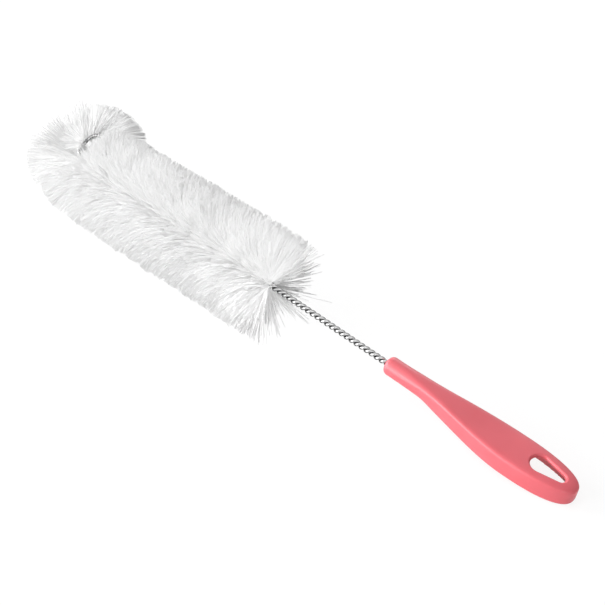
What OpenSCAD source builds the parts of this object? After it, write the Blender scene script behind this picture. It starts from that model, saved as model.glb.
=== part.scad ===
// Bottle brush with a twisted wire stem, lying at rest on its bristles and on the end of its handle.
// Worked out along the wire: X runs from the tip (-) to the handle's end (+), and X = 0 is the mouth
// of the handle's collar. at_rest() then lays the finished brush down.

/* [Handle] */
// Length of the handle, from the mouth of its collar to its end
handle_length = 110; // [100:1:130]
// Diameter of the round collar that holds the wire
collar_d = 10; // [8:0.5:12]
// Radius of the rounding round the collar's mouth
collar_round = 2; // [0.5:0.1:2.5]
// Distance from the collar's mouth to where the grip starts to swell
neck_length = 21; // [12:1:26]
// Greatest width of the grip, at its open underside
grip_w = 22.8; // [18:0.2:28]
// Thickness of the grip, from its top face to its lower rim
grip_t = 10; // [8:0.5:13]
// Distance from the grip's widest place to the handle's end
widest_to_end = 34; // [30:1:40]
// How far the middle of the grip lies below the line of the wire
grip_drop = 3; // [0:0.5:5]
// How much narrower the top face is than the lower rim, on each side
side_draft = 1.2; // [0.5:0.1:2.6]
// Thickness of the grip's top wall
wall = 2.2; // [1.6:0.1:3]
// Thickness of the grip's side walls at their lower rim
rim_wall = 1.4; // [1:0.1:2.4]
// Distance from the collar's mouth to where the hollow under the grip starts
hollow_start = 56; // [42:1:60]

/* [Hanging hole] */
// Radius of the wide round of the hole, nearer the wire
hole_wide_r = 4.8; // [3.5:0.1:5.5]
// Radius of the narrow round of the hole, nearer the handle's end
hole_narrow_r = 2.4; // [1.5:0.1:3]
// Distance between the centres of the two rounds
hole_run = 11.3; // [7:0.1:13]
// Top face left between the hole and the handle's end
hole_to_end = 7; // [6:0.5:10]

/* [Twisted wire] */
// Diameter of the wire before it is twisted
wire_d = 1.75; // [1.4:0.05:2.2]
// Length along the brush in which the two strands turn once round each other
twist_lead = 6.55; // [5.5:0.05:9]
// The same in the bent tip, where the twist is slack
tip_lead = 28; // [16:1:36]
// Depth of the wire's seat in the handle
socket_depth = 46; // [24:1:40]
// Length of bare stem between the handle and the first bristles
bare_length = 79.5; // [50:0.5:110]
// Radius of the bend that turns the tip back
bend_r = 9.5; // [7.5:0.25:12]
// How far round the tip is bent, in degrees
bend_turn = 215; // [185:5:225]
// Length of straight wire past the bend
return_leg = 7; // [4:0.5:10]
// Way the tip is bent, in degrees above level on the far side
bend_way = 48; // [0:1:90]
// How far the wire in the head sways the other way before the bend
sway = 3; // [0:0.5:5]
// Extra room that the bristles between them keep the strands apart by
bristle_room = 0.24; // [0.2:0.01:0.3]

/* [Bristles] */
// Diameter of the bristle head
head_d = 61; // [46:1:76]
// Length of the straight part of the bristle head
barrel_length = 144.5; // [110:0.5:170]
// How much shorter than the longest the shortest bristles are
ragged = 3.5; // [0:0.5:6]
// How far the tips of the bristles next to the stem lean towards the handle
flare = 9; // [0:0.5:12]
// Length of head over which that lean dies away
flare_reach = 15; // [12:1:20]
// How much the bristles of the bent tip splay, as a share of full splay
splay = 1; // [0:0.1:1]
// Share of each turn that one row of bristles fills, in degrees
row_angle = 8; // [6:0.5:16]

/* [Hidden] */

PINK = [0.93, 0.42, 0.47];
STEEL = [0.62, 0.62, 0.62];
BRISTLE_WHITE = [0.95, 0.95, 0.95];

// ---- Shared functions ----

// Eases from 0 to 1 as t goes from 0 to 1
function ease(t) = let (u = max(0, min(1, t))) u * u * (3 - 2 * u);
function fade(far, near, t) = far + (near - far) * ease(t);
function side(v) = v < 0 ? -1 : 1;

// Triangles between the rings of a tube of n points a ring, from ring i to ring i + 1. The points
// of a ring run anticlockwise as seen from the tube's far end.
function tube_faces(rings, n) = [
    for (i = [0:rings - 2], j = [0:n - 1])
        let (a = i * n + j, b = i * n + (j + 1) % n)
            each [[a, b + n, b], [a, a + n, b + n]]
];
// Flat caps over the first and the last ring
function start_cap(n) = [for (j = [0:n - 1]) j];
function end_cap(rings, n) = [for (j = [n - 1:-1:0]) (rings - 1) * n + j];

// ---- Handle ----

collar_r = collar_d / 2;
grip_half_t = grip_t / 2;
widest_x = handle_length - widest_to_end;
RING_POINTS = 40;

// Squareness of the section: 2 is a circle, higher is boxier. The lower rim is nearly sharp.
ROUND = 2;
TOP_SQUARE = 6.5;
RIM_SQUARE = 16;
// How much longer than the neck the way is on which they get there
TOP_SQUARE_WAY = 24;
RIM_SQUARE_WAY = 20;
END_SQUARE = 2.4;
function top_square(x) = fade(ROUND, TOP_SQUARE, (x - neck_length / 3) / (neck_length + TOP_SQUARE_WAY));
function rim_square(x) = fade(ROUND, RIM_SQUARE, (x - neck_length) / (neck_length + RIM_SQUARE_WAY));

// Sizes of the grip at a distance x from the collar's mouth
function grip_half_w(x) = fade(collar_r, grip_w / 2, (x - neck_length) / (widest_x - neck_length));
function half_t(x) = fade(collar_r, grip_half_t, (x - neck_length) / (widest_x - neck_length));
function middle_z(x) = -fade(0, grip_drop, (x - neck_length / 3) / (widest_x - neck_length / 3));
function draft(x) = fade(0, side_draft, (x - neck_length * 1.8) / (widest_x - neck_length * 1.8));

// Height and width of a rounded end: share is how far along the end part, square is its squareness
function end_height(share, square) = pow(max(0, 1 - pow(share, square)), 1 / square);
function end_width(share, full) = pow(max(0, pow(full, END_SQUARE) - pow(share, END_SQUARE)), 1 / END_SQUARE);

// One ring of a rounded box section. share is 0 along the body and goes to 1 at the rounded end.
function section(x, share, half_w, up, down, up_square, down_square, lean, n) = [
    for (j = [0:n - 1])
        let (
            turn = 360 * j / n,
            square = sin(turn) < 0 ? down_square : up_square,
            depth = sin(turn) < 0 ? down : up,
            z = side(sin(turn)) * depth * end_height(share, square) * pow(abs(sin(turn)), 2 / square),
            full = pow(max(0, 1 - pow(abs(z) / depth, square)), 1 / square),
            y = end_width(share, full) * (half_w - lean * (z + down) / (up + down))
        )
        [x, side(cos(turn)) * y, middle_z(x) + z]
];

// Where the rings stand: evenly along the body, then closing up towards the end
BODY_STEPS = 12;
END_STEPS = 9;
END_SHARE = 0.995;
function body_xs(from) = [for (i = [0:BODY_STEPS]) from + (widest_x - from) * i / BODY_STEPS];
function end_shares() = [for (i = [1:END_STEPS]) END_SHARE * sin(90 * i / END_STEPS)];

COLLAR_STEPS = 4;
function collar_ring(a) = let (r = collar_r - collar_round * (1 - sin(a)), x = collar_round * (1 - cos(a)))
    section(x, 0, r, r, r, ROUND, ROUND, 0, RING_POINTS);
function outer_ring(x, share) = section(x, share, grip_half_w(x), half_t(x), half_t(x),
    top_square(x), rim_square(x), draft(x), RING_POINTS);

handle_rings = concat(
    [for (i = [0:COLLAR_STEPS - 1]) collar_ring(90 * i / COLLAR_STEPS)],
    [for (x = body_xs(collar_round)) outer_ring(x, 0)],
    [for (share = end_shares()) outer_ring(widest_x + widest_to_end * share, share)]
);

module handle_body() {
    polyhedron([for (ring = handle_rings) each ring],
        concat([start_cap(RING_POINTS)], tube_faces(len(handle_rings), RING_POINTS),
            [end_cap(len(handle_rings), RING_POINTS)]), convexity = 6);
}

// The hollow follows the outside a wall in, under a ceiling with bevelled corners, and runs out
// below the lower rim
HOLLOW_CLEAR = 1.5;
HOLLOW_STEPS = 5;
HOLLOW_POINTS = 6;
CEILING_BEVEL = 1.2;
function hollow_ring(x, share) = let (
        narrowing = end_width(share, 1),
        rim = (grip_half_w(x) - rim_wall) * narrowing,
        high = (grip_half_w(x) - draft(x) - wall) * narrowing,
        top = middle_z(x) + half_t(x) - wall,
        low = middle_z(x) - half_t(x) - HOLLOW_CLEAR,
        bevel = min(CEILING_BEVEL, high / 3)
    )
    [[x, rim, low], [x, high, top - bevel], [x, high - bevel, top],
        [x, bevel - high, top], [x, -high, top - bevel], [x, -rim, low]];

module grip_hollow() {
    rings = concat(
        [for (i = [0:HOLLOW_STEPS]) hollow_ring(hollow_start + (widest_x - hollow_start) * i / HOLLOW_STEPS, 0)],
        [for (share = end_shares()) hollow_ring(widest_x + (widest_to_end - rim_wall) * share, share)]
    );
    polyhedron([for (ring = rings) each ring],
        concat([start_cap(HOLLOW_POINTS)], tube_faces(len(rings), HOLLOW_POINTS),
            [end_cap(len(rings), HOLLOW_POINTS)]), convexity = 6);
}

// Teardrop outline: two rounds and the straight sides that touch both
hole_narrow_x = handle_length - hole_to_end - hole_narrow_r;
hole_wide_x = hole_narrow_x - hole_run;
hole_slope = asin((hole_wide_r - hole_narrow_r) / hole_run);

module hanging_hole() {
    touch = [sin(hole_slope), cos(hole_slope)];
    translate([0, 0, -grip_t])
        linear_extrude(3 * grip_t) {
            translate([hole_wide_x, 0]) circle(r = hole_wide_r, $fn = 64);
            translate([hole_narrow_x, 0]) circle(r = hole_narrow_r, $fn = 48);
            polygon([
                [hole_wide_x + hole_wide_r * touch[0], hole_wide_r * touch[1]],
                [hole_narrow_x + hole_narrow_r * touch[0], hole_narrow_r * touch[1]],
                [hole_narrow_x + hole_narrow_r * touch[0], -hole_narrow_r * touch[1]],
                [hole_wide_x + hole_wide_r * touch[0], -hole_wide_r * touch[1]]
            ]);
        }
}

module handle() {
    color(PINK) difference() {
        handle_body();
        grip_hollow();
        hanging_hole();
        translate([-1, 0, 0]) rotate([0, 90, 0]) cylinder(r = pair_r + SEAT_CLEARANCE, h = socket_depth + SEAT_END + 1, $fn = 48);
    }
}

// ---- Path of the wire: straight, round the bend, and back ----

// Distances along the path, measured from the wire's cut end in the handle
barrel_from = socket_depth + bare_length;
bend_from = barrel_from + barrel_length;
bend_to = bend_from + bend_r * bend_turn * PI / 180;
path_end = bend_to + return_leg;

bend_dir = [0, cos(bend_way), sin(bend_way)];
cross_dir = [0, sin(bend_way), -cos(bend_way)];
function bend_angle(s) = max(0, min(bend_turn, (s - bend_from) / bend_r * 180 / PI));
function path_way(s) = let (a = bend_angle(s)) [-cos(a), 0, 0] + sin(a) * bend_dir;
// Unit vector at right angles to the path, towards the inside of the bend
function path_in(s) = let (a = bend_angle(s)) [sin(a), 0, 0] + cos(a) * bend_dir;
function path_point(s) = let (a = bend_angle(s))
    [socket_depth - min(s, bend_from) - bend_r * sin(a), 0, 0]
    + (bend_r * (1 - cos(a)) - fade(0, sway, (s - barrel_from) / barrel_length)) * bend_dir
    + max(0, s - bend_to) * path_way(s);

// The strands turn left-handed round the path. The twist slackens over the last of the barrel, from
// twist_lead to tip_lead: turns(s) counts the turns from where it starts to.
SLACK_FROM = 7.5;
SLACK_TO = 2;
slack_length = (SLACK_FROM - SLACK_TO) * twist_lead;
slack_from = bend_from - SLACK_FROM * twist_lead;
less_twist = 1 / twist_lead - 1 / tip_lead;
function slack(s) = max(0, min(1, (s - slack_from) / slack_length));
function turns(s) = (s - slack_from) / twist_lead - less_twist * (
    slack_length * (pow(slack(s), 3) - pow(slack(s), 4) / 2) + max(0, s - slack_from - slack_length));
function lead(s) = 1 / (1 / twist_lead - less_twist * ease(slack(s)));
// Place along the twist, in turns from where, just past the bend's start, the bristles stand square
// to the plane of the bend. It also points the lowest row next to the stem straight down, so that
// the brush lies on the full width of its edge and doesn't roll.
SQUARE_AT = 0.154;
function place(s) = turns(s) - turns(bend_from + SQUARE_AT * tip_lead);
function twist(s) = -360 * place(s);
function around(s, angle) = cos(angle) * path_in(s) + sin(angle) * cross_dir;

// Places from one distance to another, even_steps apart or so many to a turn of the twist
function even_steps(from, to, step) = let (n = ceil((to - from) / step))
    [for (i = [0:n - 1]) from + (to - from) * i / n];
TURN_TABLE_STEP = 0.5;
turn_table = [for (s = [0:TURN_TABLE_STEP:path_end + TURN_TABLE_STEP]) [turns(s), s]];
function turn_steps(from, to, in_a_turn) = let (n = ceil((turns(to) - turns(from)) * in_a_turn))
    [for (i = [0:n - 1]) lookup(turns(from) + (turns(to) - turns(from)) * i / n, turn_table)];

// ---- Twisted wire ----

WIRE_SIDES = 5;
TURN_RINGS = 6;
LOOP_STEPS = 4;
STRAND_GAP = 0.06;
SEAT_CLEARANCE = 0.02;
SEAT_END = 1;
OPENING_LENGTH = 4;
wire_r = wire_d / 2;
strand_r = wire_r + STRAND_GAP / 2;
pair_r = strand_r + wire_r;
function strand_offset(s) = strand_r + bristle_room * ease((s - barrel_from) / OPENING_LENGTH + 1);

TIP_STEP = 1.5;
wire_stations = concat(
    turn_steps(0, barrel_from, TURN_RINGS),
    turn_steps(barrel_from, bend_from, TURN_RINGS),
    even_steps(bend_from, path_end, TIP_STEP),
    [path_end]
);

function unit(v) = v / norm(v);
// Ring of wire round centre, with one corner on the side away from the other strand
function wire_ring(centre, way, out) = let (across = cross(unit(way), out))
    [for (j = [0:WIRE_SIDES - 1]) centre + wire_r * (cos(360 * j / WIRE_SIDES) * out
        + sin(360 * j / WIRE_SIDES) * across)];
// hand is 1 for the strand that runs out to the tip and -1 for the one that comes back
function strand_ring(s, hand) = let (
        out = hand * around(s, twist(s)),
        drift = hand * around(s, twist(s) + 90) * 2 * PI * strand_offset(s) / lead(s)
    )
    wire_ring(path_point(s) + strand_offset(s) * out, hand * (path_way(s) - drift), out);
// The fold that joins the two strands at the end of the path
function fold_ring(a) = let (
        out = cos(a) * around(path_end, twist(path_end)) + sin(a) * path_way(path_end),
        way = cos(a) * path_way(path_end) - sin(a) * around(path_end, twist(path_end))
    )
    wire_ring(path_point(path_end) + strand_offset(path_end) * out, way, out);

module twisted_wire() {
    last = len(wire_stations) - 1;
    rings = concat(
        [for (s = wire_stations) strand_ring(s, 1)],
        [for (i = [1:LOOP_STEPS - 1]) fold_ring(180 * i / LOOP_STEPS)],
        [for (i = [last:-1:0]) strand_ring(wire_stations[i], -1)]
    );
    color(STEEL)
        polyhedron([for (ring = rings) each ring],
            concat([start_cap(WIRE_SIDES)], tube_faces(len(rings), WIRE_SIDES),
                [end_cap(len(rings), WIRE_SIDES)]), convexity = 12);
}

// ---- Bristles ----

// They pass between the strands, at right angles to them, and stand out on both sides in a double spiral
ROWS_A_TURN = 18;
ROW_POINTS = 10;
RAGGED_SEED = 41;
BEND_SHARE = 0.9;
GRIP_CLEARANCE = 0.14;
ROOT_CLEARANCE = 0.15;
head_r = head_d / 2;
// Half the thickness of bristle between the strands, and how far out the strands let go of it
web = strand_offset(barrel_from) - wire_r - GRIP_CLEARANCE;
root_reach = strand_offset(barrel_from) + wire_r + ROOT_CLEARANCE;

bristle_stations = concat(turn_steps(barrel_from, path_end, ROWS_A_TURN), [path_end]);
cuts = rands(0, 1, 2 * len(bristle_stations), RAGGED_SEED);

// Bristles that point into the bend, or at its other leg, stop short of the line midway between. Past
// the bend's start they get shorter, above all where they are thin on the wire.
THIN_SHARE = 0.4;
function in_bend(s) = s > bend_from - return_leg - OPENING_LENGTH;
function bend_room(s) = bend_r - max(0, bend_from - s, s - bend_to) * tan(bend_turn / 2 - 90);
function bristle_reach(s, way, cut) = let (
        inwards = way * path_in(s),
        thin = THIN_SHARE * swell(place(s), 0.4, 0.6, 0.75, 0.86),
        free = (head_r - ragged * cut) * (1 - thin)
    )
    in_bend(s) && inwards > 0 ? min(free, BEND_SHARE * bend_room(s) / inwards) : free;

// Rises from 0 to 1 between from and full, and falls back to 0 between until and to
function swell(t, from, full, until, to) = ease((t - from) / (full - from)) * (1 - ease((t - until) / (to - until)));
// Lean along the path, for each mm that a bristle stands out. Next to the bare stem they all lean
// back. Round the bent tip they splay: those on the near side first back and at the end forwards,
// those on the outside forwards.
BACK_LEAN = 0.45;
OUT_LEAN = 0.55;
END_LEAN = 0.8;
LAST_LEAN = 0.25;
NEAR_LEAN = 1.1;
FREE_WIDTH = 0.35;
function lean(s, way) = let (
        t = place(s),
        inwards = way * path_in(s),
        near = max(0, -way * cross_dir)
    )
    -flare / head_r * pow(max(0, 1 - (s - barrel_from) / flare_reach), 2)
    + splay * (
        OUT_LEAN * max(0, -inwards) * swell(t, -0.65, -0.3, -0.07, 0.15)
        - BACK_LEAN * near * swell(t, -0.9, 0, 0.1, 0.3)
        + ease(1 - inwards / FREE_WIDTH) * (END_LEAN * ease((t - 0.29) / 0.18) + LAST_LEAN * ease((t - 1) / 0.36))
        + NEAR_LEAN * near * ease((t - 0.75) / 0.14)
    );
// Corner of a bristle row's outer edge, half a row_angle across from way
function edge_corner(s, way, across, cut) = let (along = lean(s, way))
    path_point(s) + bristle_reach(s, way, cut) / sqrt(1 + along * along)
        * (cos(row_angle / 2) * way + sin(row_angle / 2) * across + along * path_way(s));

// Outline of the bristles at s: a bow tie with its knot between the strands
function bristle_row(k) = let (
        s = bristle_stations[k],
        centre = path_point(s),
        way = around(s, twist(s) + 90),
        up = around(s, twist(s) + 180),
        root = root_reach * way,
        root_up = root_reach * tan(row_angle / 2) * up,
        near_cut = cuts[2 * k],
        far_cut = cuts[2 * k + 1]
    )
    [
        centre - web * up,
        centre + root - root_up,
        edge_corner(s, way, -up, near_cut),
        edge_corner(s, way, up, near_cut),
        centre + root + root_up,
        centre + web * up,
        centre - root + root_up,
        edge_corner(s, -way, up, far_cut),
        edge_corner(s, -way, -up, far_cut),
        centre - root - root_up
    ];

// The quads between rows are cut so that both faces of a row bow the same way and keep their distance
ROW_INWARDS = [3, 4, 8, 9];
function row_faces(rings) = [
    for (i = [0:rings - 2], j = [0:ROW_POINTS - 1])
        let (
            a = i * ROW_POINTS + j,
            b = i * ROW_POINTS + (j + 1) % ROW_POINTS,
            n = ROW_POINTS
        )
            each len(search(j, ROW_INWARDS)) > 0 ? [[a, a + n, b], [b, a + n, b + n]]
                : [[a, b + n, b], [a, a + n, b + n]]
];
// A row's outline is a bow tie, so its caps are cut into triangles
BOW_TIE = [[0, 1, 4], [0, 4, 5], [1, 2, 3], [1, 3, 4], [5, 6, 9], [5, 9, 0], [6, 7, 8], [6, 8, 9]];

bristle_rows = [for (k = [0:len(bristle_stations) - 1]) bristle_row(k)];

module bristles() {
    rows = len(bristle_rows);
    color(BRISTLE_WHITE)
        polyhedron([for (row = bristle_rows) each row],
            concat(
                BOW_TIE,
                row_faces(rows),
                [for (t = BOW_TIE) [t[2], t[1], t[0]] + (rows - 1) * ROW_POINTS * [1, 1, 1]]
            ), convexity = 20);
}

// ---- Rest ----

// The brush lies on the rim of the bristles next to the stem and on the rim of the handle's end. The
// tilt starts from a guess and is mended until both are equally low.
handle_points = [for (ring = handle_rings) each ring];
bristle_points = [for (row = bristle_rows) each row];
function lowest(points, tilt) = min([for (p = points) p[2] * cos(tilt) - p[0] * sin(tilt)]);
function settled(tilt, rounds) = rounds == 0 ? tilt : settled(tilt
    + atan((lowest(handle_points, tilt) - lowest(bristle_points, tilt)) / (bare_length + handle_length)),
    rounds - 1);
rest_tilt = settled(atan((head_r - grip_drop - grip_half_t) / (bare_length + handle_length)), 5);

// The origin is on the floor, under the middle of the brush
outside = [for (p = concat(handle_points, bristle_points))
    [p[0] * cos(rest_tilt) + p[2] * sin(rest_tilt), p[1], p[2] * cos(rest_tilt) - p[0] * sin(rest_tilt)]];
xs = [for (p = outside) p[0]];
ys = [for (p = outside) p[1]];
zs = [for (p = outside) p[2]];
base = [(min(xs) + max(xs)) / 2, (min(ys) + max(ys)) / 2, min(zs)];

module at_rest() {
    translate(-base) rotate([0, rest_tilt, 0]) children();
}

at_rest() handle();
at_rest() twisted_wire();
at_rest() bristles();
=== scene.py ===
import math

import bmesh
import bpy
import numpy as np
from mathutils import Matrix, Vector
from mathutils.bvhtree import BVHTree


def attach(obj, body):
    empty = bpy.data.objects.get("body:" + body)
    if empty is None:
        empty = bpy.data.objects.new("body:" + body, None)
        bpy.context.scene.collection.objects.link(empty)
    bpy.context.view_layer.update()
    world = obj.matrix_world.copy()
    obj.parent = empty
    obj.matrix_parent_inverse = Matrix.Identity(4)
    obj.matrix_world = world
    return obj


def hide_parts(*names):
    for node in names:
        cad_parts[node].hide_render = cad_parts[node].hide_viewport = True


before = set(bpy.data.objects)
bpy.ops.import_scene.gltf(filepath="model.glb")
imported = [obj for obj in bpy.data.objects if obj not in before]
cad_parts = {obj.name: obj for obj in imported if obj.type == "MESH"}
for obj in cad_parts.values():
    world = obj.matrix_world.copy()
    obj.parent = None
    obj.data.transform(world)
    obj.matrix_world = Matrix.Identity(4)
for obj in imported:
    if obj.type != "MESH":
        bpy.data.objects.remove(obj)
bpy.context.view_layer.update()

# ---------------------------------------------------------------- sizes, mm, as in the CAD source
# the handle: x runs from its collar, near 0, to its end
LENGTH = 110.0
COLLAR_R = 5.0
NECK = 21.0
TO_END = 34.0
WIDEST_X = LENGTH - TO_END
HALF_W = 11.4
HALF_T = 5.0
DROP = 3.0
DRAFT = 1.2
WALL = 2.2
RIM_WALL = 1.4
HOLLOW_START = 56.0
# exponents of its outlines: 2 is round, and more is squarer
ROUND = 2
TOP_SQUARE = 6.5
RIM_SQUARE = 16.0
END_SQUARE = 2.4
TOP_SQUARE_WAY = 24.0
RIM_SQUARE_WAY = 20.0
# the hanging hole, a teardrop
HOLE_R = 4.8
HOLE_TIP_R = 2.4
HOLE_RUN = 11.3
HOLE_TO_END = 7.0
HOLE_TIP_X = LENGTH - HOLE_TO_END - HOLE_TIP_R
HOLE_X = HOLE_TIP_X - HOLE_RUN
# the wire: its path runs from its seat in the handle to the end of its turned-back tip
WIRE_R = 0.875
STRAND_GAP = 0.06
LEAD = 6.55
TIP_LEAD = 28.0
SLACK_FROM = 7.5 * LEAD
SLACK_TO = 2 * LEAD
SQUARE_AT = 0.154 * TIP_LEAD
SOCKET = 46.0
BARE = 79.5
BEND_R = 9.5
BEND_TURN = math.radians(215)
LEG = 7.0
BEND_WAY = math.radians(48)
SWAY = 3.0
# the bristles, and the room between the strands for them
ROOM = 0.24
ROOM_WAY = 4.0
HEAD_R = 30.5
BARREL = 144.5
BARREL_FROM = SOCKET + BARE
BEND_FROM = BARREL_FROM + BARREL
BEND_TO = BEND_FROM + BEND_TURN * BEND_R
PATH_END = BEND_TO + LEG
# how the brush lies at rest, as the CAD source works it out
TILT = math.radians(6.76729)
BASE = np.array([-75.7431, 1.05728, -20.5181])


def tilted(p):
    """Directions along the brush to directions in the frame."""
    p = np.asarray(p, float)
    c, s = math.cos(TILT), math.sin(TILT)
    return np.stack([p[..., 0] * c + p[..., 2] * s, p[..., 1], -p[..., 0] * s + p[..., 2] * c], -1)


def at_rest(p):
    """Points along the brush, in mm, to the frame's metres."""
    return (tilted(p) - BASE) / 1000


def unit(v):
    return v / np.linalg.norm(v, axis=-1)[..., None]


def ease(t):
    """From 0 to 1, smoothly, as t goes from 0 to 1."""
    u = np.clip(t, 0, 1)
    return u * u * (3 - 2 * u)


def fade(far, near, t):
    """From far to near, smoothly, as t goes from 0 to 1."""
    return far + (near - far) * ease(t)


def swell(t, start, full, until, end):
    """Rises from 0 to 1 between start and full, and falls back between until and end."""
    return ease((t - start) / (full - start)) * (1 - ease((t - until) / (end - until)))


# ---------------------------------------------------------------- meshes
def mesh_object(name, verts, quads=None, tris=None, smooth=True):
    """A mesh from arrays of vertices, quads and triangles."""
    quads = np.zeros((0, 4), int) if quads is None else np.asarray(quads)
    tris = np.zeros((0, 3), int) if tris is None else np.asarray(tris)
    me = bpy.data.meshes.new(name)
    me.vertices.add(len(verts))
    me.vertices.foreach_set("co", np.asarray(verts, np.float32).ravel())
    me.loops.add(quads.size + tris.size)
    me.loops.foreach_set("vertex_index", np.concatenate([quads.ravel(), tris.ravel()]).astype(np.int32))
    me.polygons.add(len(quads) + len(tris))
    starts = np.concatenate([np.arange(len(quads)) * 4, quads.size + np.arange(len(tris)) * 3])
    me.polygons.foreach_set("loop_start", starts.astype(np.int32))
    me.update(calc_edges=True)
    me.validate()
    me.polygons.foreach_set("use_smooth", np.full(len(me.polygons), smooth))
    return shown(bpy.data.objects.new(name, me))


def shown(ob):
    """Puts the object in the scene."""
    bpy.context.scene.collection.objects.link(ob)
    return ob


def loft(name, rings):
    """Closed tube through equal rings of points."""
    rings = np.asarray(rings)
    k, n = rings.shape[:2]
    i, j = np.meshgrid(np.arange(k - 1), np.arange(n), indexing="ij")
    a, b = i * n + j, i * n + (j + 1) % n
    quads = np.stack([a, b, b + n, a + n], -1).reshape(-1, 4)
    verts = np.concatenate([rings.reshape(-1, 3), rings[:1].mean(1), rings[-1:].mean(1)])
    j = np.arange(n)
    tris = np.concatenate([
        np.stack([np.full(n, k * n), (j + 1) % n, j], -1),
        np.stack([np.full(n, k * n + 1), (k - 1) * n + j, (k - 1) * n + (j + 1) % n], -1),
    ])
    return mesh_object(name, verts, quads, tris)


def evaluated_mesh(ob):
    """The mesh that the object's modifiers leave."""
    deps = bpy.context.evaluated_depsgraph_get()
    return bpy.data.meshes.new_from_object(ob.evaluated_get(deps))


def remove(ob):
    """Takes away a form that was only needed to make another."""
    me = ob.data
    bpy.data.objects.remove(ob)
    bpy.data.meshes.remove(me)


# ---------------------------------------------------------------- handle
DROP_FROM = NECK / 3
DRAFT_FROM = NECK * 1.8


def half_w(x):
    return fade(COLLAR_R, HALF_W, (x - NECK) / (WIDEST_X - NECK))


def half_t(x):
    return fade(COLLAR_R, HALF_T, (x - NECK) / (WIDEST_X - NECK))


def middle_z(x):
    return -fade(0, DROP, (x - DROP_FROM) / (WIDEST_X - DROP_FROM))


def draft(x):
    return fade(0, DRAFT, (x - DRAFT_FROM) / (WIDEST_X - DRAFT_FROM))


def top_square(x):
    return fade(ROUND, TOP_SQUARE, (x - DROP_FROM) / (NECK + TOP_SQUARE_WAY))


def rim_square(x):
    return fade(ROUND, RIM_SQUARE, (x - NECK) / (NECK + RIM_SQUARE_WAY))


def end_width(share, full):
    """Half the width of the rounded end, as a share of that at its widest place."""
    return np.maximum(0, full**END_SQUARE - share**END_SQUARE) ** (1 / END_SQUARE)


def section(x, share, w, up, down, up_square, down_square, lean, n):
    """Ring of the grip at x. share says how far it is from the widest place, 0, to the end, 1."""
    turn = np.linspace(0, 2 * np.pi, n, endpoint=False)
    s, c = np.sin(turn), np.cos(turn)
    square = np.where(s < 0, down_square, up_square)
    depth = np.where(s < 0, down, up)
    end = np.maximum(0, 1 - share**square) ** (1 / square)
    z = np.sign(s) * depth * end * np.abs(s) ** (2 / square)
    full = np.maximum(0, 1 - (np.abs(z) / depth) ** square) ** (1 / square)
    y = end_width(share, full) * (w - lean * (z + down) / (up + down))
    return np.stack([np.full(n, x), np.sign(c) * y, middle_z(x) + z], -1)


GRIP_POINTS = 160
MOUTH_STEPS = 12
GRIP_STEPS = 90
END_STEPS = 48
MOUTH_FROM = -1.4
MOUTH_TO = 2.0
MOUTH_SQUARE = 2.6
# the first ring of the mouth and the last of an end aren't quite a point
MOUTH_FIRST = 0.04
END_LAST = 0.9995


def outer(x, share):
    up = down = half_t(x)
    return section(x, share, half_w(x), up, down, top_square(x), rim_square(x), draft(x), GRIP_POINTS)


def grip_rings():
    """The outside: the collar's domed mouth, the neck and grip, and the round end."""
    turn = np.linspace(0, 2 * np.pi, GRIP_POINTS, endpoint=False)
    rings = []
    for a in np.linspace(MOUTH_FIRST, 1, MOUTH_STEPS, endpoint=False):
        x = MOUTH_FROM + (MOUTH_TO - MOUTH_FROM) * a
        r = COLLAR_R * (1 - (1 - a) ** MOUTH_SQUARE) ** (1 / MOUTH_SQUARE)
        rings.append(np.stack([np.full(GRIP_POINTS, x), r * np.cos(turn), r * np.sin(turn)], -1))
    for x in np.linspace(MOUTH_TO, WIDEST_X, GRIP_STEPS):
        rings.append(outer(x, 0.0))
    for a in np.linspace(0, np.pi / 2, END_STEPS)[1:]:
        share = END_LAST * math.sin(a)
        rings.append(outer(WIDEST_X + TO_END * share, share))
    return rings


HOLLOW_POINTS = 64
HOLLOW_STEPS = 20
HOLLOW_END_STEPS = 26
HOLLOW_END_LAST = 0.999
HOLLOW_TOP_SQUARE = 6.0
HOLLOW_RIM_SQUARE = 24.0
PAST_EDGE = 3.0


def hollow_section(x, share):
    w = half_w(x) - RIM_WALL
    up, down = half_t(x) - WALL, half_t(x) + PAST_EDGE
    lean = draft(x) + WALL - RIM_WALL
    return section(x, share, w, up, down, HOLLOW_TOP_SQUARE, HOLLOW_RIM_SQUARE, lean, HOLLOW_POINTS)


def hollow_rings():
    """The inside, which runs past the lower edge, so that the grip is open underneath."""
    rings = [hollow_section(x, 0.0) for x in np.linspace(HOLLOW_START, WIDEST_X, HOLLOW_STEPS)]
    for a in np.linspace(0, np.pi / 2, HOLLOW_END_STEPS)[1:]:
        share = HOLLOW_END_LAST * math.sin(a)
        ring = hollow_section(WIDEST_X, share)
        ring[:, 0] = WIDEST_X + (TO_END - RIM_WALL) * share
        rings.append(ring)
    return rings


ON_TOP = 0.999


def top_z(x, y):
    """Height of the grip's top face. Past its edge it is that of the edge."""
    share = np.clip((x - WIDEST_X) / TO_END, 0, ON_TOP)
    w = half_w(x) - draft(x)
    out = ((np.abs(y) / w) ** END_SQUARE + share**END_SQUARE) ** (1 / END_SQUARE)
    square = top_square(x)
    return middle_z(x) + half_t(x) * (1 - np.minimum(out, ON_TOP) ** square) ** (1 / square)


ARC_POINTS = 40
HOLE_EDGE = 1.3
EDGE_STEPS = 10
EDGE_TURN = math.radians(80)
FLARE_OUT = 0.6
FLARE_UP = 3.0
BELOW = -14.0
ABOVE = 12.0


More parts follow.
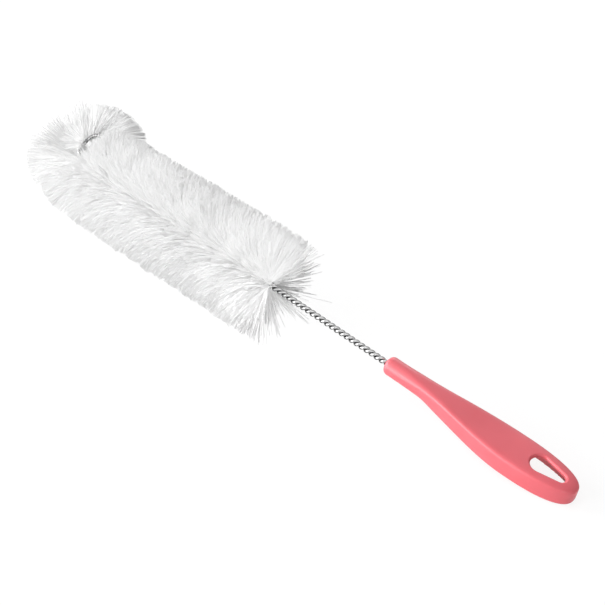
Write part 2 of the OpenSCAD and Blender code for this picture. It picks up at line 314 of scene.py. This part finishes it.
def teardrop():
    """Outline of the hanging hole, with its outward normals."""
    slope = math.asin((HOLE_R - HOLE_TIP_R) / (HOLE_TIP_X - HOLE_X))
    square_on = math.pi / 2 - slope
    outline, outward = [], []
    for x, r, a0, a1 in ((HOLE_TIP_X, HOLE_TIP_R, -square_on, square_on),
                         (HOLE_X, HOLE_R, square_on, 2 * math.pi - square_on)):
        for a in np.linspace(a0, a1, ARC_POINTS):
            outline.append((x + r * math.cos(a), r * math.sin(a)))
            outward.append((math.cos(a), math.sin(a)))
    return np.array(outline), np.array(outward)


def hole_rings():
    """The hole's walls, with a rounded edge at the top face, on to well above and below the grip."""
    outline, outward = teardrop()
    rings = [np.column_stack([outline, np.full(len(outline), BELOW)])]
    for a in np.linspace(0, EDGE_TURN, EDGE_STEPS):
        ring = outline + outward * HOLE_EDGE * (1 - math.cos(a))
        height = top_z(ring[:, 0], ring[:, 1]) - HOLE_EDGE * (1 - math.sin(a))
        rings.append(np.column_stack([ring, height]))
    ring = ring + outward * FLARE_OUT
    rings.append(np.column_stack([ring, height + FLARE_UP]))
    rings.append(np.column_stack([ring, np.full(len(ring), ABOVE)]))
    return rings


VOXEL = 0.36
SOFTEN = 0.5
SOFTEN_ROUNDS = 4
# a point up to ON_SKIN from the exact outside goes back onto it, and one past OFF_SKIN stays
ON_SKIN = 0.10
OFF_SKIN = 0.28
SEARCH = 0.5


def smooth_skin(body, cutters):
    """The body's mesh with the cutters taken out of it, made even and then smoothed, for round edges."""
    for cutter in cutters:
        cut = body.modifiers.new("cut", "BOOLEAN")
        cut.operation, cut.solver, cut.object = "DIFFERENCE", "EXACT", cutter
    even = body.modifiers.new("even", "REMESH")
    even.mode, even.voxel_size, even.use_smooth_shade = "VOXEL", VOXEL, True
    soft = body.modifiers.new("soft", "SMOOTH")
    soft.factor, soft.iterations = SOFTEN, SOFTEN_ROUNDS
    return evaluated_mesh(body)


def pulled_to(form, points):
    """The smoothed points, back on the exact outside away from the hole's rim and the lower edge."""
    bm = bmesh.new()
    bm.from_mesh(form.data)
    tree = BVHTree.FromBMesh(bm)
    for i, point in enumerate(points):
        hit, _, _, gap = tree.find_nearest(Vector(point), SEARCH)
        if hit is not None and gap < OFF_SKIN:
            k = 1 - float(ease((gap - ON_SKIN) / (OFF_SKIN - ON_SKIN)))
            points[i] = point * (1 - k) + np.array(hit) * k
    bm.free()
    return points


def grip_piece():
    rings = grip_rings()
    body = loft("body_form", rings)
    hollow = loft("hollow_form", hollow_rings())
    hole = loft("hole_form", hole_rings())
    skin = smooth_skin(body, (hollow, hole))
    plain = loft("plain_form", rings)
    points = np.empty(len(skin.vertices) * 3, np.float32)
    skin.vertices.foreach_get("co", points)
    points = pulled_to(plain, points.reshape(-1, 3).astype(float))
    skin.vertices.foreach_set("co", at_rest(points).astype(np.float32).ravel())
    skin.update()
    grip = shown(bpy.data.objects.new("grip_moulding", skin))
    for form in (body, hollow, hole, plain):
        remove(form)
    skin.polygons.foreach_set("use_smooth", np.ones(len(skin.polygons), bool))
    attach(grip, "root")
    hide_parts("handle")
    return grip


grip = grip_piece()

# ---------------------------------------------------------------- path of the wire
OUT_DIR = np.array([0, math.cos(BEND_WAY), math.sin(BEND_WAY)])
CROSS = np.array([0, math.sin(BEND_WAY), -math.cos(BEND_WAY)])
X = np.array([1.0, 0, 0])
SLACK_LENGTH = SLACK_FROM - SLACK_TO
LESS_TWIST = 1 / LEAD - 1 / TIP_LEAD


def bend_angle(s):
    """How far the path has turned at s, its length from the seat in the handle."""
    return np.clip((s - BEND_FROM) / BEND_R, 0, BEND_TURN)


def path_way(s):
    """Where the path heads."""
    a = bend_angle(np.asarray(s, float))[..., None]
    return -np.cos(a) * X + np.sin(a) * OUT_DIR


def path_in(s):
    """At right angles to the path, towards the middle of the bend."""
    a = bend_angle(np.asarray(s, float))[..., None]
    return np.sin(a) * X + np.cos(a) * OUT_DIR


def path_point(s):
    s = np.asarray(s, float)
    a = bend_angle(s)
    x = SOCKET - np.minimum(s, BEND_FROM) - BEND_R * np.sin(a)
    out = BEND_R * (1 - np.cos(a)) - fade(0, SWAY, (s - BARREL_FROM) / BARREL)
    return x[..., None] * X + out[..., None] * OUT_DIR + np.maximum(0, s - BEND_TO)[..., None] * path_way(s)


def slack(s):
    """From 0, where the twist starts to slacken, to 1, where it has its tip's lead."""
    return np.clip((np.asarray(s, float) - BEND_FROM + SLACK_FROM) / SLACK_LENGTH, 0, 1)


def turns(s):
    """Turns of the twist from where it starts to slacken."""
    past = np.asarray(s, float) - BEND_FROM + SLACK_FROM
    k = slack(s)
    return past / LEAD - LESS_TWIST * (SLACK_LENGTH * (k**3 - k**4 / 2) + np.maximum(0, past - SLACK_LENGTH))


def lead(s):
    """Length of one turn of the twist at s."""
    return 1 / (1 / LEAD - LESS_TWIST * ease(slack(s)))


def place(s):
    """Turns from where, just past the bend's start, the bristles stand square to its plane."""
    return turns(s) - turns(BEND_FROM + SQUARE_AT)


def around(s, turn):
    """Unit vector at right angles to the path, turn radians past the strand's place."""
    t = (turn - 2 * math.pi * place(s))[..., None]
    return np.cos(t) * path_in(s) + np.sin(t) * CROSS


def strand_offset(s):
    """From the path to the middle of each strand, with room for the bristles between them."""
    return WIRE_R + STRAND_GAP / 2 + ROOM * ease((s - BARREL_FROM) / ROOM_WAY + 1)


# ---------------------------------------------------------------- twisted wire
WIRE_SIDES = 12
RINGS_A_TURN = 16
BEND_RINGS = 80
LOOP_RINGS = 14


def strand(s, hand):
    """Centres, headings and outward ways of one strand's rings."""
    out = hand * around(s, 0.0)
    drift = hand * around(s, math.pi / 2) * (2 * math.pi * strand_offset(s) / lead(s))[:, None]
    return path_point(s) + strand_offset(s)[:, None] * out, hand * (path_way(s) - drift), out


def end_loop():
    """The same for the half ring at the tip, where the wire turns from one strand into the other."""
    s = np.array(PATH_END)
    a = np.linspace(0, math.pi, LOOP_RINGS)[1:-1, None]
    first, along = around(s, 0.0), path_way(s)
    out = np.cos(a) * first + np.sin(a) * along
    return path_point(s) + strand_offset(s) * out, np.cos(a) * along - np.sin(a) * first, out


def wire_piece():
    straight = np.linspace(0, BEND_FROM, int(BEND_FROM / LEAD * RINGS_A_TURN), endpoint=False)
    s = np.concatenate([straight, np.linspace(BEND_FROM, PATH_END, BEND_RINGS)])
    back = tuple(v[::-1] for v in strand(s, -1))
    centre, way, out = (np.concatenate(v) for v in zip(strand(s, 1), end_loop(), back))
    across = np.cross(unit(way), out)
    t = np.linspace(0, 2 * np.pi, WIRE_SIDES, endpoint=False)[None, :, None]
    rings = centre[:, None] + WIRE_R * (np.cos(t) * out[:, None] + np.sin(t) * across[:, None])
    wire = loft("wire_strands", at_rest(rings))
    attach(wire, "root")
    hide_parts("twisted_wire")
    return wire


wire = wire_piece()

# ---------------------------------------------------------------- bristles
rng = np.random.default_rng(7)

# light spreads inside a nylon bristle, so its brightness hangs little on which way its wall faces
FACING = 0.88
LIT_FROM = np.array([0.1, -0.45, 0.85])
# metres: no filament reaches below this
FLOOR_GAP = 0.00003
# thickness at the root and the tip, as shares of the filament's radius
ROOT_THICK = 0.75
TIP_THICK = 0.95
# what makes a filament's colour, 0 dark to 1 pale: a tone that differs at random, and painted light and
# shade, paler towards the root and by where the filament is and points
SHADE_LEAST = 0.26
SHADE_CHANCE = 0.16
ROOT_PAINTED_LIGHT = 0.22
DEPTH_CURVE = 0.8
PAINTED_LIGHT_OUTSIDE = 0.8
PAINTED_LIGHT_DEPTH = 0.5


def tones_with_painted_light(chance, painted_light_and_shade, points):
    """A colour for each point, a random tone with painted light and shade. Towards the root, where little of
    the lamps' light comes, they are painted paler.
    """
    depth = (1 - np.linspace(0, 1, points) ** DEPTH_CURVE)[None]
    tone_and_root_light = SHADE_LEAST + SHADE_CHANCE * chance[:, None] + ROOT_PAINTED_LIGHT * depth
    return np.clip(tone_and_root_light + painted_light_and_shade[:, None] * (PAINTED_LIGHT_OUTSIDE + PAINTED_LIGHT_DEPTH * depth), 0, 1)


def tubes(name, pts, radius, chance, painted_light_and_shade):
    """One mesh of thin three-sided filaments. pts is (count, points, 3) in mm."""
    n, k = pts.shape[:2]
    way = unit(pts[:, -1] - pts[:, 0])
    side = unit(np.cross(way, rng.normal(size=(n, 3))))
    other = np.cross(way, side)
    turn = np.arange(3) * 2 * math.pi / 3
    thick = radius[:, None] * np.linspace(ROOT_THICK, TIP_THICK, k)[None]
    off = np.cos(turn)[None, :, None] * side[:, None] + np.sin(turn)[None, :, None] * other[:, None]
    verts = at_rest(pts[:, :, None] + off[:, None] * thick[:, :, None, None])
    verts[..., 2] = np.maximum(verts[..., 2], FLOOR_GAP)
    base = (np.arange(n) * k * 3)[:, None, None]
    i, j = np.arange(k - 1)[None, :, None], np.arange(3)[None, None, :]
    a, b = base + i * 3 + j, base + i * 3 + (j + 1) % 3
    quads = np.stack([a, b, b + 3, a + 3], -1).reshape(-1, 4)
    tip = (np.arange(n) * k * 3 + (k - 1) * 3)[:, None] + np.arange(3)
    ob = mesh_object(name, verts.reshape(-1, 3), quads, tip)
    # the colour attribute: a random tone, with painted light and shade on it
    tone_and_painted_light = ob.data.attributes.new("tone_and_painted_light", "FLOAT", "POINT")
    tone_and_painted_light.data.foreach_set("value", np.repeat(tones_with_painted_light(chance, painted_light_and_shade, k), 3).astype(np.float32))
    facing = ob.data.attributes.new("facing", "FLOAT_VECTOR", "POINT")
    ways = unit(FACING * LIT_FROM + (1 - FACING) * np.repeat(tilted(off)[:, None], k, 1))
    facing.data.foreach_set("vector", ways.astype(np.float32).ravel())
    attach(ob, "root")
    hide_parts("bristles")
    return ob


def wander(t, knots_a_turn, spread):
    """A random value that drifts smoothly with t, in turns."""
    first = math.floor(t.min() * knots_a_turn) - 1
    count = math.ceil(t.max() * knots_a_turn) - first + 3
    values = rng.normal(0, spread, count)
    k = t * knots_a_turn - first
    i = np.floor(k).astype(int)
    return values[i] + (values[i + 1] - values[i]) * ease(k - i)


# the filaments stand in tufts, and the tufts in locks. Each varies, in lean as a slope, in cut, how much
# shorter it is, in mm, and in bow as a share of its length
LOCKS_A_TURN = 17
LOCK_EDGE = 0.06
LOCK_LEAN = 0.032
LOCK_CUT = 0.45
DRIFTS_A_TURN = 9
DRIFT_LEAN = 0.03
TUFTS_A_TURN = 150
TUFT_EDGE = 0.35
TUFT_LEAN = 0.016
TUFT_CUT = 2.2
TUFT_CUT_RARE = 6
TUFT_BOW = 0.012
PINCH_LEAST = 0.1
PINCH_MOST = 0.65
OWN_TURN = math.radians(1.2)
OWN_LEAN = 0.012
OWN_CUT = 0.9
LONGEST = 0.2
OWN_BOW = 0.008
SAG = 0.03
OWN_CHANCE = 0.2
OWN_START = 0.12


def grow(s0, s1, count):
    """Filaments that leave the path between s0 and s1, on both sides, in tufts that pinch together."""
    s = s0 + (s1 - s0) * (np.arange(count) + rng.uniform(0, 1, count)) / count
    t = turns(s)
    hand = rng.integers(0, 2, count)
    drift, lock_cut, tuft_lean, tuft_cut, tuft_chance, off = (np.zeros(count) for _ in range(6))
    tuft_bow = np.zeros((count, 2))
    for side in (0, 1):
        these = hand == side
        edge = rng.uniform(-LOCK_EDGE, LOCK_EDGE, these.sum())
        lock = np.floor(t[these] * LOCKS_A_TURN + edge).astype(int)
        lock -= lock.min()
        locks = lock.max() + 1
        drift[these] = wander(t[these], DRIFTS_A_TURN, DRIFT_LEAN) + rng.normal(0, LOCK_LEAN, locks)[lock]
        lock_cut[these] = rng.normal(0, LOCK_CUT, locks)[lock]
        along = t[these] * TUFTS_A_TURN + rng.uniform(-TUFT_EDGE, TUFT_EDGE, these.sum())
        tuft = np.floor(along).astype(int)
        tuft -= tuft.min()
        tufts = tuft.max() + 1
        tuft_lean[these] = rng.normal(0, TUFT_LEAN, tufts)[tuft]
        tuft_cut[these] = (rng.uniform(0, 1, tufts) ** TUFT_CUT_RARE * TUFT_CUT)[tuft]
        tuft_chance[these] = rng.uniform(0, 1, tufts)[tuft]
        tuft_bow[these] = rng.normal(0, TUFT_BOW, (tufts, 2))[tuft]
        pinch = rng.uniform(PINCH_LEAST, PINCH_MOST, tufts)[tuft]
        off[these] = 2 * math.pi * (along - np.floor(along) - 0.5) / TUFTS_A_TURN * pinch
    turn = math.pi / 2 + math.pi * hand + off + rng.normal(0, OWN_TURN, count)
    lean = drift + tuft_lean + rng.normal(0, OWN_LEAN, count)
    cut = lock_cut + tuft_cut + rng.uniform(0, 1, count) ** 2 * OWN_CUT - LONGEST
    bow = tuft_bow + rng.normal(0, OWN_BOW, (count, 2)) + np.array([SAG, 0])
    chance = np.clip(tuft_chance * (1 - OWN_CHANCE) + rng.uniform(0, 1, count) * OWN_CHANCE, 0, 1)
    return s + rng.normal(0, OWN_START, count), turn, lean, cut, bow, chance


# round the tip, by place: how far the fans lean, how much shorter they are, and what share is left out
LEAN_AT = (0.0, 0.12, 0.24, 0.33, 0.42, 0.5, 0.62, 0.72, 0.8, 0.92, 1.0, 1.36)
LEAN = (0.0, 0.0, 0.2, 0.42, 0.5, 0.62, 0.62, 0.55, 0.55, 0.5, 0.7, 1.05)
SHORT_AT = (0.15, 0.3, 0.42, 0.5, 0.6, 0.72, 0.8, 0.9)
SHORT = (0.0, 3.5, 4.5, 0.5, 4.5, 10.0, 7.0, 2.0)
THIN_AT = (0.4, 0.47, 0.54, 0.6, 0.68, 0.74)
THIN = (0, 0.5, 0.5, 0.88, 0.88, 0)
# the leans that come and go there. WHERE holds the places where one starts, is full, falls and ends
OUT_LEAN = 0.55
OUT_WHERE = (-0.65, -0.3, -0.07, 0.15)
NEAR_LEAN = 0.45
NEAR_WHERE = (-0.9, 0, 0.1, 0.3)
LAST_LEAN = 1.1
LAST_FROM = 0.75
LAST_WAY = 0.14
FREE_WIDTH = 0.35
# and how widely they vary
SLACK_SPREAD = 0.1
LOOSE_SPREAD = 0.2
LOOSE_WHERE = (-0.6, -0.2, 0.3, 0.5)
LATE_SPREAD = 0.12
LATE_FROM = 0.4
LATE_WAY = 0.2


def splay(s, way):
    """Lean of the bristles round the bent tip, and how widely it varies."""
    t = place(s)
    push = np.sum(way * path_in(s), 1)
    near = np.maximum(0, -way @ CROSS)
    out = np.maximum(0, -push)
    free = ease(1 - push / FREE_WIDTH)
    mean = (OUT_LEAN * out * swell(t, *OUT_WHERE)
            - NEAR_LEAN * near * swell(t, *NEAR_WHERE)
            + free * np.interp(t, LEAN_AT, LEAN)
            + LAST_LEAN * near * ease((t - LAST_FROM) / LAST_WAY))
    late = LATE_SPREAD * ease((t - LATE_FROM) / LATE_WAY)
    spread = SLACK_SPREAD * ease(slack(s)) + free * (LOOSE_SPREAD * swell(t, *LOOSE_WHERE) + late)
    return mean, spread


# next to the stem the filaments lean back: all a little, most of them more, and a few stray ones most
BACK_WAY = 15.0
BACK_LEAST = 0.05
BACK_MORE = 0.3
BACK_STRAY = 0.5
STRAY_RARE = 12
# those that lean back there are longer, so that they reach nearly as far out
LONGER_WAY = 20.0
LONGER = 0.8
# how far inside HEAD_R they end, in mm, and how much farther round the tip
INSIDE = 0.3
TIP_CUT = 1.5
TIP_CUT_FROM = 0.3
TIP_CUT_WAY = 0.3
# SHORT counts for those that point into the bend by less than this
SHORT_SIDE = 0.2
# in the bend and this far from it, those that point at the other leg stop at a share of the way
BEND_MARGIN = LEG + 4.0
STOP_SHORT = 0.95
LEAST_PUSH = 0.01


def filaments(s, turn, lean, cut, bow, points):
    """Their points: out from between the strands, at right angles to the path or nearly so."""
    s = np.clip(s, BARREL_FROM, PATH_END)
    way = around(s, turn)
    tan = path_way(s)
    push = np.sum(way * path_in(s), 1)
    # next to the stem they spread back, and round the tip they splay
    first = np.clip(1 - (s - BARREL_FROM) / BACK_WAY, 0, 1) ** 2
    loose = rng.uniform(0, 1, len(s))
    back = first * (BACK_LEAST + BACK_MORE * loose + BACK_STRAY * loose**STRAY_RARE)
    mean, spread = splay(s, way)
    lean = lean - back + mean + spread * rng.normal(0, 1, len(s))
    t = place(s)
    cut = cut + TIP_CUT * ease((t - TIP_CUT_FROM) / TIP_CUT_WAY)
    cut = cut + (push < SHORT_SIDE) * np.interp(t, SHORT_AT, SHORT)
    reach = HEAD_R - INSIDE - cut
    # in the bend, those that point at the other leg stop short of it
    in_bend = s > BEND_FROM - BEND_MARGIN
    straight = np.maximum(0, np.maximum(BEND_FROM - s, s - BEND_TO))
    room = BEND_R - straight * math.tan(BEND_TURN / 2 - math.pi / 2)
    limit = STOP_SHORT * room / np.maximum(push, LEAST_PUSH)
    length = np.where(in_bend & (push > 0), np.minimum(reach, limit), reach)
    direction = unit(way + lean[:, None] * tan)
    length *= np.where(s < BARREL_FROM + LONGER_WAY, np.sqrt(1 + lean**2 * LONGER), 1)
    t = np.linspace(0, 1, points)[None, :, None]
    side = np.cross(direction, tan)
    curve = (bow[:, 0, None] * side + bow[:, 1, None] * tan)[:, None] * (t**2 - t) * 2
    return path_point(s)[:, None] + length[:, None, None] * (direction[:, None] * t + curve)


# the head's stretches, in mm along the path, and the radius of a filament
FIRST_SPAN = 14.0
SPAN = 32.0
SHADING_FROM = 40.0
LEAST_R = 0.115
MOST_R = 0.155
# painted light and shade that a filament's place and aim add to its colour: at the stem, to the sides, and
# round the tip
BACK_PALE = 3
BACK_PALE_FROM = 0.35
SIDE_PALE = 0.2
SIDE_UNEVEN = 0.04
SIDE_CURVE = 1.5
TIP_DARK = 0.1
TIP_DARK_WAY = 50.0
FAN_DARK = 0.2
FAN_WHERE = (0.1, 0.2, 0.34, 0.44)
END_PALE = 0.03
END_PALE_FROM = 0.44
END_PALE_WAY = 0.15


def painted_light_and_shade_for(s, pts):
    """Painted light and shade: paler where they point back along the stem or sideways, and darker towards
    the tip.
    """
    aim = unit(pts[:, -1] - pts[:, 0])
    t = place(s)
    back = np.maximum(0, aim[:, 0] - BACK_PALE_FROM) * (s < BARREL_FROM + FIRST_SPAN)
    return (BACK_PALE * back
            + (SIDE_PALE - SIDE_UNEVEN * aim[:, 1]) * np.abs(aim[:, 1]) ** SIDE_CURVE
            - TIP_DARK * ease((s - BEND_FROM + TIP_DARK_WAY) / TIP_DARK_WAY)
            - FAN_DARK * swell(t, *FAN_WHERE)
            + END_PALE * ease((t - END_PALE_FROM) / END_PALE_WAY))


def head_piece(name, s0, s1, count, points):
    """One stretch of the head: count filaments between s0 and s1, each with so many points."""
    grown = grow(s0, s1, count)
    # they are few where the tip's second half turn starts
    kept = rng.uniform(0, 1, count) > np.interp(place(grown[0]), THIN_AT, THIN)
    s, turn, lean, cut, bow, chance = (v[kept] for v in grown)
    pts = filaments(s, turn, lean, cut, bow, points)
    radius = rng.uniform(LEAST_R, MOST_R, len(s))
    return tubes(name, pts, radius, chance, painted_light_and_shade_for(s, pts))


def head_pieces():
    first_end, a_end, b_end, c_end = BARREL_FROM + FIRST_SPAN + SPAN * np.arange(4)
    head = [
        head_piece("bristles_first", BARREL_FROM, first_end, 2000, 4),
        head_piece("bristles_a", first_end, a_end, 4200, 3),
        head_piece("bristles_b", a_end, b_end, 4200, 3),
        head_piece("bristles_c", b_end, c_end, 4200, 3),
        head_piece("bristles_d", c_end, BEND_FROM, 4600, 3),
        head_piece("bristles_tip", BEND_FROM, PATH_END, 6700, 4),
        head_piece("bristles_shading", BARREL_FROM + SHADING_FROM, PATH_END, 1700, 4),
    ]
    # nylon lets most light through, so only the last ones, which are few, cast a shadow, for all of them
    for piece in head[:-1]:
        piece.visible_shadow = False
    return head


head = head_pieces()


# ---------------------------------------------------------------- materials
def material(name):
    """A new material, its nodes and links, and its shader."""
    made = bpy.data.materials.new(name)
    made.use_nodes = True
    nodes = made.node_tree.nodes
    return made, nodes, made.node_tree.links, nodes["Principled BSDF"]


def grey(level):
    return level, level, level


def coords(nodes):
    """The object's own metres."""
    return nodes.new("ShaderNodeTexCoord").outputs["Object"]


def noise(nodes, links, vector, scale, detail):
    node = nodes.new("ShaderNodeTexNoise")
    node.inputs["Scale"].default_value = scale
    node.inputs["Detail"].default_value = detail
    links.new(vector, node.inputs["Vector"])
    return node.outputs["Fac"]


def ramp(nodes, links, fac, stops):
    """Colours that change with fac. stops are pairs of its value and a colour."""
    node = nodes.new("ShaderNodeValToRGB")
    elements = node.color_ramp.elements
    while len(elements) < len(stops):
        elements.new(0.5)
    for element, (position, colour) in zip(elements, stops):
        element.position, element.color = position, (*colour, 1)
    links.new(fac, node.inputs["Fac"])
    return node.outputs["Color"]


def span(nodes, links, fac, low, high):
    """From low to high as fac goes from 0 to 1."""
    node = nodes.new("ShaderNodeMapRange")
    node.inputs["To Min"].default_value = low
    node.inputs["To Max"].default_value = high
    links.new(fac, node.inputs["Value"])
    return node.outputs["Result"]


def maths(nodes, links, operation, first, second):
    """A Math node of two sockets."""
    node = nodes.new("ShaderNodeMath")
    node.operation = operation
    links.new(first, node.inputs[0])
    links.new(second, node.inputs[1])
    return node.outputs[0]


def mixed(nodes, links, fac, first, second):
    """The material shows its first shader where fac is 0, and its second where it is 1."""
    node = nodes.new("ShaderNodeMixShader")
    links.new(fac, node.inputs["Fac"])
    links.new(first, node.inputs[1])
    links.new(second, node.inputs[2])
    links.new(node.outputs["Shader"], nodes["Material Output"].inputs["Surface"])


def bump(nodes, links, height, strength, distance, bsdf):
    node = nodes.new("ShaderNodeBump")
    node.inputs["Strength"].default_value = strength
    node.inputs["Distance"].default_value = distance
    links.new(height, node.inputs["Height"])
    links.new(node.outputs["Normal"], bsdf.inputs["Normal"])


def pink_plastic():
    """Satin, a little cloudy and finely grained, and lit a little from within."""
    made, nodes, links, bsdf = material("pink_plastic")
    v = coords(nodes)
    pinks = [(0.3, (0.73, 0.122, 0.148)), (0.7, (0.76, 0.132, 0.160))]
    links.new(ramp(nodes, links, noise(nodes, links, v, 60, 2), pinks), bsdf.inputs["Base Color"])
    links.new(span(nodes, links, noise(nodes, links, v, 350, 3), 0.40, 0.50), bsdf.inputs["Roughness"])
    bump(nodes, links, noise(nodes, links, v, 1600, 2), 0.06, 0.0002, bsdf)
    bsdf.inputs["Subsurface Weight"].default_value = 0.12
    bsdf.inputs["Subsurface Radius"].default_value = (0.002, 0.0008, 0.0008)
    bsdf.inputs["Subsurface Scale"].default_value = 0.6
    return made


def drawn_wire():
    """Steel, with a fine random mottle. Its colour is painted darker where the surface turns away from view,
    a painted shade at the strands' edges and in the grooves between them, and their middles are bright.
    """
    made, nodes, links, bsdf = material("drawn_wire")
    v = coords(nodes)
    # painted shade: the more the surface turns away from view, the darker, with a little random mottle
    edge = nodes.new("ShaderNodeLayerWeight")
    edge.inputs["Blend"].default_value = 0.5
    mottle_and_painted_shade = nodes.new("ShaderNodeMath")
    mottle_and_painted_shade.operation = "MULTIPLY_ADD"
    mottle_and_painted_shade.inputs[1].default_value = 0.2
    links.new(noise(nodes, links, v, 900, 3), mottle_and_painted_shade.inputs[0])
    links.new(edge.outputs["Facing"], mottle_and_painted_shade.inputs[2])
    steels = [(0.15, grey(0.46)), (0.45, grey(0.28)), (0.75, grey(0.05))]
    links.new(ramp(nodes, links, mottle_and_painted_shade.outputs[0], steels), bsdf.inputs["Base Color"])
    links.new(span(nodes, links, noise(nodes, links, v, 2500, 2), 0.22, 0.38), bsdf.inputs["Roughness"])
    bump(nodes, links, noise(nodes, links, v, 4000, 2), 0.08, 0.0001, bsdf)
    bsdf.inputs["Metallic"].default_value = 1.0
    return made


def attribute(nodes, name):
    node = nodes.new("ShaderNodeAttribute")
    node.attribute_name = name
    return node


def white_nylon():
    """Lit from both sides alike. Light that has come into a bristle goes out through its far wall."""
    made, nodes, links, bsdf = material("white_nylon")
    whites = [(0.0, grey(0.37)), (0.75, grey(0.55)), (1.0, grey(0.8))]
    # the filaments' colour: a random tone, with painted light and shade on it
    tint = ramp(nodes, links, attribute(nodes, "tone_and_painted_light").outputs["Fac"], whites)
    face = attribute(nodes, "facing").outputs["Vector"]
    links.new(tint, bsdf.inputs["Base Color"])
    links.new(face, bsdf.inputs["Normal"])
    bsdf.inputs["Roughness"].default_value = 0.65
    bsdf.inputs["Specular IOR Level"].default_value = 0.15
    back = nodes.new("ShaderNodeVectorMath")
    back.operation = "SCALE"
    back.inputs["Scale"].default_value = -1.0
    links.new(face, back.inputs[0])
    through = nodes.new("ShaderNodeBsdfTranslucent")
    links.new(tint, through.inputs["Color"])
    links.new(back.outputs["Vector"], through.inputs["Normal"])
    both = nodes.new("ShaderNodeAddShader")
    links.new(bsdf.outputs["BSDF"], both.inputs[0])
    links.new(through.outputs["BSDF"], both.inputs[1])
    inside = nodes.new("ShaderNodeNewGeometry").outputs["Backfacing"]
    clear = nodes.new("ShaderNodeBsdfTransparent").outputs["BSDF"]
    mixed(nodes, links, inside, both.outputs["Shader"], clear)
    return made


grip.data.materials.clear()
grip.data.materials.append(pink_plastic())
wire.data.materials.append(drawn_wire())
nylon = white_nylon()
for piece in head:
    piece.data.materials.append(nylon)

# ---------------------------------------------------------------- floor and world
WORLD = 0.24
FLOOR_HALF = 40.0
FLOOR_GREY = 0.92
FLOOR_WHITE = 1.04
# how much of the seen floor is plain white: under the brush, and from 1 m off
WHITE_NEAR = 0.8
WHITE_FAR = 1.0


def sees_background(nodes, links):
    """1 for rays from the camera, reflections and what is seen through something, else 0."""
    rays = nodes.new("ShaderNodeLightPath").outputs
    seen = maths(nodes, links, "MAXIMUM", rays["Is Camera Ray"], rays["Is Glossy Ray"])
    return maths(nodes, links, "MAXIMUM", seen, rays["Is Transmission Ray"])


def white_floor():
    """Plain white where it is seen, apart from a share near the brush, which is lit and keeps its shadow."""
    made, nodes, links, bsdf = material("white_floor")
    bsdf.inputs["Base Color"].default_value = (*grey(FLOOR_GREY), 1)
    bsdf.inputs["Roughness"].default_value = 0.9
    bsdf.inputs["Specular IOR Level"].default_value = 0.0
    glow = nodes.new("ShaderNodeEmission")
    glow.inputs["Strength"].default_value = FLOOR_WHITE
    away = nodes.new("ShaderNodeVectorMath")
    away.operation = "LENGTH"
    links.new(coords(nodes), away.inputs[0])
    white = span(nodes, links, away.outputs["Value"], WHITE_NEAR, WHITE_FAR)
    plain = maths(nodes, links, "MULTIPLY", sees_background(nodes, links), white)
    mixed(nodes, links, plain, bsdf.outputs["BSDF"], glow.outputs["Emission"])
    return made


def studio():
    """White where it is seen, and WORLD of that as light."""
    world = bpy.data.worlds.new("studio")
    world.use_nodes = True
    nodes, links = world.node_tree.nodes, world.node_tree.links
    sky = nodes["Background"]
    sky.inputs["Color"].default_value = (*grey(1), 1)
    links.new(span(nodes, links, sees_background(nodes, links), WORLD, 1.0), sky.inputs["Strength"])
    return world


corners = [(x * FLOOR_HALF, y * FLOOR_HALF, 0) for x, y in ((-1, -1), (1, -1), (1, 1), (-1, 1))]
floor = mesh_object("floor", corners, [(0, 1, 2, 3)], smooth=False)
floor.data.materials.append(white_floor())
bpy.context.scene.world = studio()

# ---------------------------------------------------------------- lamps
LAMP_SIZE = 0.9
LAMPS_AIM = Vector((0, 0, 0.03))


def area(name, where, power):
    """A round lamp that points at the brush."""
    light = bpy.data.lights.new(name, "AREA")
    light.shape, light.size, light.energy = "DISK", LAMP_SIZE, power
    lamp = shown(bpy.data.objects.new(name, light))
    lamp.location = where
    lamp.rotation_euler = (LAMPS_AIM - Vector(where)).to_track_quat("-Z", "Y").to_euler()
    return lamp


area("key", (-1.5, -0.5, 0.6), 30)
area("front", (-0.75, -1.4, 0.5), 17)
area("top", (-0.4, -0.3, 1.6), 5)
area("fill", (1.2, -0.8, 0.8), 5)
area("back", (-0.6, 1.4, 0.7), 9)
card = area("card", (-0.45, -0.9, 0.3), 12)  # seen only in gloss
card.visible_diffuse = False

# ---------------------------------------------------------------- camera
# from MIDDLE on the brush's axis the camera stands DEPTH away, in mm, on the side that TOWARD points to,
# and then moves along SHIFT_WAY, right and up, by what is SHIFT pixels in the photograph
WIDTH_PX = 605
FOCUS_PX = 1128.0
SENSOR = 36.0
DEPTH = 588.0
MIDDLE = (-58.7, 0, 0)
TOWARD = (0.423, -0.583, 0.694)
UPRIGHT = (-0.1171, 0, 0.9931)
SHIFT = 3.33
SHIFT_WAY = (0.556, 0.831)


def camera():
    forward = -Vector(tilted(TOWARD)).normalized()
    right = forward.cross(Vector(tilted(UPRIGHT))).normalized()
    up = right.cross(forward)
    off = SHIFT / FOCUS_PX * DEPTH / 1000
    middle = Vector(at_rest(MIDDLE))
    eye = middle + right * (off * SHIFT_WAY[0]) + up * (off * SHIFT_WAY[1]) - forward * (DEPTH / 1000)
    lens = bpy.data.cameras.new("camera")
    lens.sensor_fit, lens.sensor_width = "HORIZONTAL", SENSOR
    lens.lens = FOCUS_PX / WIDTH_PX * SENSOR
    lens.clip_start, lens.clip_end = 0.01, 200
    made = shown(bpy.data.objects.new("camera", lens))
    made.matrix_world = Matrix.Translation(eye) @ Matrix((right, up, -forward)).transposed().to_4x4()
    return made


bpy.context.scene.camera = camera()
bpy.context.scene.view_settings.view_transform = "Standard"
